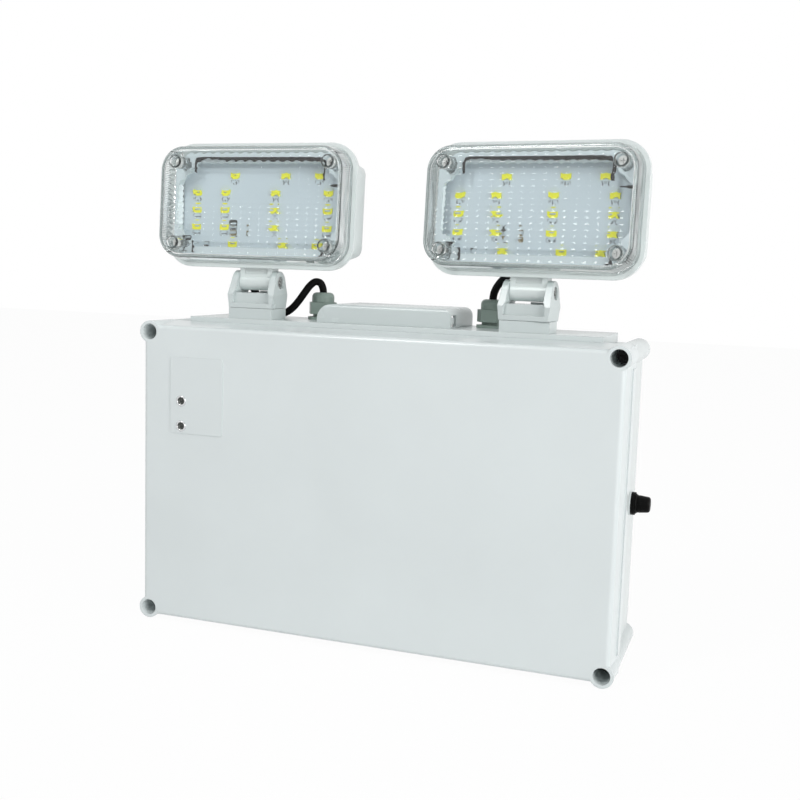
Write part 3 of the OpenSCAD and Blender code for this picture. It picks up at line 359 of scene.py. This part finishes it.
# A curve through every point, softened by the directions of the neighbours
def smoothLine(points, first, last, steps):
    line = []
    padded = [2 * points[0] - points[1]] + points + [2 * points[-1] - points[-2]]
    for i in range(first, last):
        a, b, c, d = padded[i:i + 4]
        for k in range(steps):
            line.append(blendPoints(a, b, c, d, k / steps))
    line.append(points[last])
    return line


def blendPoints(a, b, c, d, t):
    gaps = [max(math.sqrt((q - p).length), 1e-6) for p, q in ((a, b), (b, c), (c, d))]
    t0, t1 = 0.0, gaps[0]
    t2, t3 = t1 + gaps[1], t1 + gaps[1] + gaps[2]
    s = t1 + (t2 - t1) * t
    ab = a + (b - a) * ((s - t0) / (t1 - t0))
    bc = b + (c - b) * ((s - t1) / (t2 - t1))
    cd = c + (d - c) * ((s - t2) / (t3 - t2))
    abc = ab + (bc - ab) * ((s - t0) / (t2 - t0))
    bcd = bc + (cd - bc) * ((s - t1) / (t3 - t1))
    return abc + (bcd - abc) * ((s - t1) / (t2 - t1))


def tube(line, radius, around, start=None, end=None):
    points = []
    faces = []
    count = len(line)
    dirs = [(line[min(i + 1, count - 1)] - line[max(i - 1, 0)]).normalized() for i in range(count)]
    if start is not None:
        dirs[0] = start
    if end is not None:
        dirs[-1] = end
    for i, p in enumerate(line):
        across = dirs[i].cross(Vector((0, 1, 0))).normalized()
        up = dirs[i].cross(across)
        for k in range(around):
            a = 2 * math.pi * k / around
            points.append(p + radius * (math.cos(a) * across + math.sin(a) * up))
    for i in range(count - 1):
        for k in range(around):
            n = (k + 1) % around
            faces.append((i * around + k, i * around + n, (i + 1) * around + n, (i + 1) * around + k))
    faces.append(tuple(range(around - 1, -1, -1)))
    faces.append(tuple((count - 1) * around + k for k in range(around)))
    return points, faces


def outwardFaces(item):
    work = bmesh.new()
    work.from_mesh(item.data)
    bmesh.ops.recalc_face_normals(work, faces=work.faces)
    work.to_mesh(item.data)
    work.free()


def addLead(side):
    points = fullRoute(side)
    split = splits[side]
    meet = (points[split + 1] - points[split - 1]).normalized()
    for name, first, last in (("lower", 0, split), ("upper", split, len(points) - 1)):
        line = smoothLine(points, first, last, lead["between"])
        shape = tube(line, lead["radius"], lead["around"],
                     start=meet if name == "upper" else None, end=meet if name == "lower" else None)
        item = addPiece(f"{side}_lead_{name}_skin", *shape, "black_rubber", None)
        outwardFaces(item)
        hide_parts(f"{side}_lead_{name}")
        if name == "lower":
            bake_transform(item)
        else:
            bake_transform(item)


for side in sides:
    addLead(side)
print("stage: leads")


# Clear lens: a drafted shell with rounded edges, ribbed inside, with a field of pillow optics and posts
lens = {
    "width": 117.6 * mm,
    "height": 65.4 * mm,
    "footWidth": 118.8 * mm,
    "footHeight": 69.6 * mm,
    "depth": 15.8 * mm,
    "corner": 14 * mm,
    "edge": 1.9 * mm,
    "edgeSteps": 4,
    "wall": 2 * mm,
    "pillowWidth": 6 * mm,
    "pillowHeight": 3.3 * mm,
    "columns": 18,
    "rows": 18,
    "stepsAcross": 9,
    "stepsUp": 6,
    "bulgeHigh": 0.18 * mm,
    "bulgeLow": 0.33 * mm,
    "ribDepth": 0.45 * mm,
    "postX": 49.5 * mm,
    "postZ": 24 * mm,
    "postRadius": 4 * mm,
    "postRound": 32,
    "recessRadius": 3.2 * mm,
    "recessDepth": 8 * mm,
    "screwHole": 1.45 * mm,
    "postEnd": 21.3 * mm,
}


# A point on a rectangle with round corners, by its side and its share along that side from corner to corner
def loopPoint(side, share, halfWidth, halfHeight, radius):
    halfOut, halfAlong = (halfWidth, halfHeight) if side % 2 == 0 else (halfHeight, halfWidth)
    straight = 2 * (halfAlong - radius)
    bend = math.pi * radius / 4
    s = share * (straight + 2 * bend)
    x, y, a = halfOut - radius, radius - halfAlong, 0.0
    if s < bend:
        a = s / radius - math.pi / 4
    elif s > bend + straight:
        a = (s - bend - straight) / radius
        y += straight
    else:
        y += s - bend
    x += radius * math.cos(a)
    y += radius * math.sin(a)
    for _ in range(side):
        x, y = -y, x
    return x, y


def loopShares():
    across = lens["columns"] * lens["stepsAcross"]
    up = lens["rows"] * lens["stepsUp"]
    return [(side, k / n) for side, n in enumerate((up, across, up, across)) for k in range(n)]


# One ring of the shell: inset from the outline at that depth, with every other point pushed in by the ribs
def shellRing(depth, inset, rib=0.0):
    share = depth / lens["depth"]
    halfWidth = (lens["width"] + share * (lens["footWidth"] - lens["width"])) / 2
    halfHeight = (lens["height"] + share * (lens["footHeight"] - lens["height"])) / 2
    points = []
    for i, (side, along) in enumerate(loopShares()):
        d = inset + (rib if i % 2 else 0.0)
        x, z = loopPoint(side, along, halfWidth - d, halfHeight - d, lens["corner"] - d)
        points.append((x, depth - head["reach"], z))
    return points


def pillowDepth(x, z):
    u = 2 * ((x / lens["pillowWidth"] + lens["columns"] / 2) % 1) - 1
    v = 2 * ((z / lens["pillowHeight"] + lens["rows"] / 2) % 1) - 1
    return (lens["bulgeLow"] if z < 0 else lens["bulgeHigh"]) * (1 - u * u) * (1 - v * v)


# Grid of the pillow field, as points by column and row, and the indices round its edge from the lower right
def pillowField():
    across = lens["columns"] * lens["stepsAcross"]
    up = lens["rows"] * lens["stepsUp"]
    grid = {}
    for i in range(across + 1):
        for j in range(up + 1):
            x = (i / across - 0.5) * lens["columns"] * lens["pillowWidth"]
            z = (j / up - 0.5) * lens["rows"] * lens["pillowHeight"]
            rim = i in (0, across) or j in (0, up)
            bump = 0.0 if rim else pillowDepth(x, z)
            grid[i, j] = (x, lens["wall"] + bump - head["reach"], z)
    edge = [(across, j) for j in range(up)] + [(across - i, up) for i in range(across)]
    edge += [(0, up - j) for j in range(up)] + [(i, 0) for i in range(across)]
    return grid, edge, across, up


def shellMesh():
    wall, edge, depth = lens["wall"], lens["edge"], lens["depth"]
    rings = []
    for step in range(lens["edgeSteps"] + 1):
        a = math.radians(90 * step / lens["edgeSteps"])
        rings.append(shellRing(edge * (1 - math.cos(a)), edge * (1 - math.sin(a))))
    rings.append(shellRing(depth, 0))
    rings.append(shellRing(depth, wall, lens["ribDepth"]))
    rings.append(shellRing(wall + edge / 2, wall, lens["ribDepth"]))
    rings.append(shellRing(wall + edge / 4, wall, lens["ribDepth"] / 2))
    rings.append(shellRing(wall, wall + edge / 4))
    grid, rim, across, up = pillowField()
    mid = [tuple((p + q) / 2 for p, q in zip(a, grid[b])) for a, b in zip(rings[-1], rim)]
    rings.append(mid)
    count = len(rim)
    points = [p for ring in rings for p in ring]
    first = {key: len(points) + n for n, key in enumerate(grid)}
    points += list(grid.values())
    faces = [tuple(range(count))]
    smooth = [False]
    for r in range(len(rings)):
        for k in range(count):
            n = (k + 1) % count
            if r < len(rings) - 1:
                far = ((r + 1) * count + n, (r + 1) * count + k)
            else:
                far = (first[rim[n]], first[rim[k]])
            faces.append((r * count + k, r * count + n, *far))
            smooth.append(r < lens["edgeSteps"])
    for i in range(across):
        for j in range(up):
            faces.append((first[i, j], first[i + 1, j], first[i + 1, j + 1], first[i, j + 1]))
            smooth.append(True)
    return points, faces, smooth


def rodMesh(centre, radius, low, high, around):
    points = []
    for depth in (low, high):
        for k in range(around):
            a = 2 * math.pi * k / around
            x = centre[0] + radius * math.cos(a)
            z = centre[1] + radius * math.sin(a)
            points.append((x, depth - head["reach"], z))
    faces = [tuple(range(around)), tuple(range(2 * around - 1, around - 1, -1))]
    for k in range(around):
        n = (k + 1) % around
        faces.append((k, around + k, around + n, n))
    return points, faces


def looseItem(name, points, faces, smooth=None):
    mesh = bpy.data.meshes.new(name)
    mesh.from_pydata([tuple(p) for p in points], [], faces)
    if smooth:
        mesh.polygons.foreach_set("use_smooth", smooth)
    item = bpy.data.objects.new(name, mesh)
    bpy.context.collection.objects.link(item)
    outwardFaces(item)
    return item


def joinMeshes(name, shapes):
    points, faces = [], []
    for morePoints, moreFaces in shapes:
        start = len(points)
        points += morePoints
        faces += [tuple(start + i for i in face) for face in moreFaces]
    return looseItem(name, points, faces)


def cutBy(item, tool, operation):
    step = item.modifiers.new(operation, "BOOLEAN")
    step.operation = operation
    step.solver = "EXACT"
    step.object = tool


# The same rod at the lens's four corners
def cornerRods(name, radius, low, high):
    places = [(sx * lens["postX"], sz * lens["postZ"]) for sx in (-1, 1) for sz in (-1, 1)]
    return joinMeshes(name, [rodMesh(place, radius, low, high, lens["postRound"]) for place in places])


# Lens with its posts fused on and their screw recesses and holes cut, as one plain mesh
def lensMesh():
    shell = looseItem("lens_shell", *shellMesh())
    posts = cornerRods("lens_posts", lens["postRadius"], lens["wall"] / 2, lens["postEnd"])
    recesses = cornerRods("lens_recesses", lens["recessRadius"], -lens["wall"], lens["recessDepth"])
    holes = cornerRods("lens_holes", lens["screwHole"], lens["wall"], 2 * lens["postEnd"])
    cutBy(shell, posts, "UNION")
    cutBy(shell, recesses, "DIFFERENCE")
    cutBy(shell, holes, "DIFFERENCE")
    graph = bpy.context.evaluated_depsgraph_get()
    mesh = bpy.data.meshes.new_from_object(shell.evaluated_get(graph))
    for item in (shell, posts, recesses, holes):
        bpy.data.objects.remove(item)
    return mesh


# From the lens's own frame, with its middle on the y axis, to the row's frame
def facePlace(side):
    return headPlace(side) @ Matrix.Translation((head["side"], 0, head["rise"]))


def addLens(side, shape):
    mesh = shape.copy()
    mesh.transform(facePlace(side))
    mesh.materials.clear()
    mesh.materials.append(finishes["clear_plastic"])
    item = bpy.data.objects.new(f"{side}_lens_detail", mesh)
    bpy.context.collection.objects.link(item)
    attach(item, f"{side}_head")
    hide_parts(f"{side}_lens")


lensShape = lensMesh()
for side in sides:
    addLens(side, lensShape)
print("stage: lenses", len(lensShape.polygons))


# Small things on the LED board, and black tubes round it as painted shadow in the gaps at its edge and by the
# posts, placed from the lens's middle
board = {
    "front": -3.3 * mm,
    "shadowDrop": 4.1 * mm,
    "shadowHeight": 1.3 * mm,
    "shadowStroke": 0.5 * mm,
    "shadowPitch": 1.05 * mm,
    "shadowThick": 0.05 * mm,
    "partThick": 0.9 * mm,
    "gapRadius": 0.85 * mm,
    "gapFront": -9.9 * mm,
    "gapSteps": 5,
    "gapAround": 8,
}
chips = {
    "width": 108 * mm,
    "height": 51.6 * mm,
    "rows": (0.362, 0.165, -0.033, -0.236, -0.434),
    "inner": (-0.412, -0.219, 0.086, 0.403),
    "outer": (-0.167, 0.144, 0.348),
}
boardParts = [
    ("chip_black", (-18, -11.2), (3.4, 3.2)),
    ("chip_brown", (-18, -15.4), (2.6, 2.2)),
    ("chip_black", (-16.2, -18.2), (1.6, 1.2)),
    ("chip_brown", (-8, -11.6), (1.4, 2.4)),
    ("chip_brown", (-8, -15.8), (1.4, 2.4)),
    ("chip_black", (-36, -22.4), (2.2, 1.2)),
]
# Black tubes along the board's top edge and by the post notches: painted shadow of the gaps there
shadowGaps = {
    "top": [(-41.5, 19.5), (-41.5, 25.4), (-40.2, 27), (-20, 27.3), (10, 27.1), (40, 26.5), (42.8, 25.2),
            (43.4, 21), (42.6, 17.5), (43.2, 14.6)],
    "right": [(47.4, 11.8), (54, 11.4)],
    "left": [(-49.4, -19.7), (-44.4, -19.6)],
    "low": [(-42.2, -21.6), (-41.4, -25), (-41.8, -28.6)],
    "corner": [(42.4, -29.6), (44.4, -27.6), (46.6, -29.6)],
}


def slab(x, z, width, height, low, high):
    a, b = width / 2, height / 2
    corners = ((x - a, z - b), (x + a, z - b), (x + a, z + b), (x - a, z + b))
    points = [(cx, y, cz) for y in (low, high) for cx, cz in corners]
    faces = [(0, 1, 2, 3), (7, 6, 5, 4), (0, 4, 5, 1), (1, 5, 6, 2), (2, 6, 7, 3), (3, 7, 4, 0)]
    return points, faces


def placeOnHead(item, side, finish):
    item.data.transform(facePlace(side))
    item.data.materials.append(finishes[finish])
    outwardFaces(item)
    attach(item, f"{side}_head")


# Grey strokes a little below each chip: painted shadow, standing in for the chips' shadows and ghost images
# seen through the lens
def chipShadowMarks():
    shapes = []
    last = len(chips["rows"]) - 1
    for i, row in enumerate(chips["rows"]):
        for column in chips["outer"] if i in (0, last) else chips["inner"]:
            z = row * chips["height"] - board["shadowDrop"]
            if z - board["shadowHeight"] < -chips["height"] / 2:
                continue
            for k in range(-2, 3):
                x = column * chips["width"] + k * board["shadowPitch"]
                high = board["shadowHeight"] * (0.7 if k % 2 else 1)
                face = board["front"] - board["shadowThick"]
                shapes.append(slab(x, z, board["shadowStroke"], high, face, board["front"]))
    return shapes


def addBoardDetail(side):
    item = joinMeshes(f"{side}_chip_shadow_marks", chipShadowMarks())
    placeOnHead(item, side, "chip_shadow_marks")
    for finish in ("chip_black", "chip_brown"):
        shapes = [slab(x * mm, z * mm, w * mm, h * mm, board["front"] - board["partThick"], board["front"])
                  for kind, (x, z), (w, h) in boardParts if kind == finish]
        item = joinMeshes(f"{side}_{finish}s", shapes)
        placeOnHead(item, side, finish)
    shapes = []
    for points in shadowGaps.values():
        line = [Vector((x * mm, board["gapFront"], z * mm)) for x, z in points]
        if len(line) > 2:
            line = smoothLine(line, 0, len(line) - 1, board["gapSteps"])
        shapes.append(gapTube(line, board["gapRadius"], board["gapAround"]))
    item = joinMeshes(f"{side}_shadow_gap_tubes", shapes)
    placeOnHead(item, side, "black_rubber")


# A thin tube along a line that stays in one plane facing the front
def gapTube(line, radius, around):
    points, faces = [], []
    count = len(line)
    for i, p in enumerate(line):
        way = (line[min(i + 1, count - 1)] - line[max(i - 1, 0)]).normalized()
        out = Vector((0, 1, 0))
        side = way.cross(out)
        for k in range(around):
            a = 2 * math.pi * k / around
            points.append(tuple(p + radius * (math.cos(a) * out + math.sin(a) * side)))
    for i in range(count - 1):
        for k in range(around):
            n = (k + 1) % around
            faces.append((i * around + k, i * around + n, (i + 1) * around + n, (i + 1) * around + k))
    faces.append(tuple(range(around)))
    faces.append(tuple((count - 1) * around + k for k in range(around)))
    return points, faces


for side in sides:
    addBoardDetail(side)
print("stage: LED boards")


# Turned pieces: indicator rims with a dark cone and a small dome, and the button with a flared collar
indicator = {
    "rim": 0.9 * mm,
    "lip": 0.35 * mm,
    "sink": 1.6 * mm,
    "domeRadius": 1.1 * mm,
    "domeRise": 1.0 * mm,
    "domeSteps": 9,
    "around": 40,
}
knob = {
    "foot": 5.7 * mm,
    "footLong": 1.3 * mm,
    "bevel": 0.2 * mm,
    "clear": 0.05 * mm,
    "waist": 4.95 * mm,
    "sunk": 3 * mm,
    "tip": 4.5 * mm,
    "round": 1.5 * mm,
    "roundSteps": 6,
    "around": 48,
}


# Ring of faces round an axis through the profile's points, each a radius and a distance along the axis
def turned(profile, centre, along, across, around, closed):
    up = along.cross(across)
    points = []
    for radius, far in profile:
        for k in range(around):
            a = 2 * math.pi * k / around
            points.append(tuple(centre + along * far + radius * (math.cos(a) * across + math.sin(a) * up)))
    faces = []
    count = len(profile)
    for i in range(count if closed else count - 1):
        j = (i + 1) % count
        for k in range(around):
            n = (k + 1) % around
            faces.append((i * around + k, i * around + n, j * around + n, j * around + k))
    if not closed:
        faces.append(tuple(range(around)))
        faces.append(tuple((count - 1) * around + k for k in range(around)))
    return points, faces


def addTurned(name, shapes, finish, body, node=None):
    item = joinMeshes(name, shapes)
    item.data.materials.append(finishes[finish])
    item.data.polygons.foreach_set("use_smooth", [len(face.vertices) == 4 for face in item.data.polygons])
    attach(item, body)
    if node:
        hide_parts(node)


def addIndicators():
    low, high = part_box("indicator_bezels")
    rim = (high[0] - low[0]) / 2
    front = Vector((0, -1, 0))
    across = Vector((1, 0, 0))
    rims, cones, domes = [], [], []
    inside = rim - indicator["rim"]
    for z in (high[2] - rim, low[2] + rim):
        centre = Vector((low[0] + rim, low[1], z))
        lip = indicator["lip"]
        ring = [(rim, -lip * 3), (rim, -lip), (rim - lip * 0.3, -lip * 0.3), (rim - lip, 0),
                (inside + lip * 0.6, 0), (inside + lip * 0.1, -lip * 0.4), (inside, -lip), (inside, -lip * 3)]
        rims.append(turned(ring, centre, front, across, indicator["around"], True))
        radius = indicator["domeRadius"]
        sink = indicator["sink"]
        cone = [(inside + lip * 0.2, -lip * 3.2), (inside + lip * 0.2, -lip), (inside, -lip),
                (radius, -sink), (radius, -sink - lip)]
        cones.append(turned(cone, centre, front, across, indicator["around"], False))
        dome = [(radius, -sink - lip)]
        for step in range(indicator["domeSteps"]):
            a = math.radians(90 * step / indicator["domeSteps"])
            dome.append((radius * math.cos(a), indicator["domeRise"] * math.sin(a) - sink))
        domes.append(turned(dome, centre, front, across, indicator["around"], False))
    addTurned("indicator_rims", rims, "indicator_chrome", "case", "indicator_bezels")
    addTurned("indicator_cones", cones, "indicator_cone", "case")
    addTurned("indicator_domes", domes, "indicator_dome", "case", "indicator_leds")


def addButton():
    low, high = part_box("test_button")
    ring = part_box("button_bezel")[1][0]
    middle = Vector((0, (low[1] + high[1]) / 2, (low[2] + high[2]) / 2))
    tip = high[0]
    along = Vector((1, 0, 0))
    across = Vector((0, 1, 0))
    inside = knob["waist"] + knob["clear"]
    bevel = knob["bevel"]
    collar = [(inside, ring), (knob["foot"], ring), (knob["foot"], ring + knob["footLong"] / 3),
              (knob["foot"] - bevel, ring + knob["footLong"] / 2),
              (inside + bevel / 2, ring + knob["footLong"]), (inside, ring + knob["footLong"])]
    shape = turned(collar, middle, along, across, knob["around"], True)
    addTurned("button_collar", [shape], "button_plastic", "case")
    stem = knob["waist"] / 2
    profile = [(stem, low[0]), (stem, ring - knob["sunk"] - bevel), (knob["waist"], ring - knob["sunk"]),
               (knob["waist"], ring + 2 * knob["footLong"]),
               (knob["tip"] + knob["round"] / 10, tip - 2 * knob["round"])]
    for step in range(knob["roundSteps"] + 1):
        a = math.radians(90 * step / knob["roundSteps"])
        radius = knob["tip"] - knob["round"] * (1 - math.cos(a))
        profile.append((radius, tip - knob["round"] * (1 - math.sin(a))))
    shape = turned(profile, middle, along, across, knob["around"], False)
    addTurned("button_cap", [shape], "button_plastic", "push_button", "test_button")


addIndicators()
addButton()
print("stage: indicators and button")


# Floor, world and lamps
stage = {
    "floorZ": -91.8 * mm,
    "floorSize": 6.0,
    "floorTone": 0.86,
    "floorShine": 0.965,
    "worldLight": 0.3,
}
# The front lamp is narrow and high, so that each lower pillow of the lenses mirrors it as a white dot
lamps = {
    "right_softbox": {"place": (1.6, -0.75, 0.45), "aim": (0, 0, 0), "size": (1.0, 1.2), "power": 20},
    "front_lamp": {"place": (-0.46, -1.02, 1.18), "aim": (0, -0.06, 0.1), "size": (0.26, 0.7), "power": 8.8},
    "top_softbox": {"place": (0, 0.1, 1.6), "aim": (0, 0, 0), "size": (1.4, 1.0), "power": 2.2},
}


# White for the eye and in clear and shiny things, the lit surface for everything else
def whiteForEye(nodes, links, lit, output, kind, share):
    path = nodes.new("ShaderNodeLightPath")
    white = nodes.new(kind)
    white.inputs["Color"].default_value = (1, 1, 1, 1)
    white.inputs["Strength"].default_value = 1
    total = path.outputs["Is Camera Ray"]
    for name in ("Is Glossy Ray", "Is Transmission Ray"):
        larger = nodes.new("ShaderNodeMath")
        larger.operation = "MAXIMUM"
        links.new(total, larger.inputs[0])
        links.new(path.outputs[name], larger.inputs[1])
        total = larger.outputs[0]
    weight = nodes.new("ShaderNodeMath")
    weight.operation = "MULTIPLY"
    weight.inputs[1].default_value = share
    links.new(total, weight.inputs[0])
    mix = nodes.new("ShaderNodeMixShader")
    links.new(weight.outputs[0], mix.inputs[0])
    links.new(lit, mix.inputs[1])
    links.new(white.outputs[0], mix.inputs[2])
    links.new(mix.outputs[0], output.inputs["Surface"])


def addWorld():
    world = bpy.data.worlds.new("studio")
    bpy.context.scene.world = world
    world.use_nodes = True
    nodes = world.node_tree.nodes
    nodes.clear()
    output = nodes.new("ShaderNodeOutputWorld")
    back = nodes.new("ShaderNodeBackground")
    back.inputs["Color"].default_value = (0.96, 0.98, 1.0, 1)
    back.inputs["Strength"].default_value = stage["worldLight"]
    whiteForEye(nodes, world.node_tree.links, back.outputs[0], output, "ShaderNodeBackground", 1)


def addFloor():
    half = stage["floorSize"] / 2
    z = stage["floorZ"]
    corners = [(-half, -half, z), (half, -half, z), (half, half, z), (-half, half, z)]
    mesh = bpy.data.meshes.new("floor")
    mesh.from_pydata(corners, [], [(0, 1, 2, 3)])
    item = bpy.data.objects.new("floor", mesh)
    bpy.context.collection.objects.link(item)
    tree = Tree("floor")
    tone = stage["floorTone"]
    fine = tree.noise(30, 3)
    tint = tree.ramp(fine, 0.2, 0.8, ((tone * 0.99,) * 3, (tone,) * 3))
    tree.link(tint, "Color", tree.shader, "Base Color")
    tree.set(Roughness=0.7)
    lit = tree.shader.outputs["BSDF"]
    whiteForEye(tree.nodes, tree.links, lit, tree.output, "ShaderNodeEmission", stage["floorShine"])
    mesh.materials.append(tree.material)


def addLamp(name, place, aim, size, power):
    data = bpy.data.lights.new(name, "AREA")
    data.shape = "RECTANGLE"
    data.size, data.size_y = size
    data.energy = power
    item = bpy.data.objects.new(name, data)
    item.location = place
    item.rotation_euler = (Vector(aim) - Vector(place)).to_track_quat("-Z", "Y").to_euler()
    bpy.context.collection.objects.link(item)


addWorld()
addFloor()
for name, lamp in lamps.items():
    addLamp(name, **lamp)
bpy.context.scene.view_settings.view_transform = "Standard"
print("stage: light")
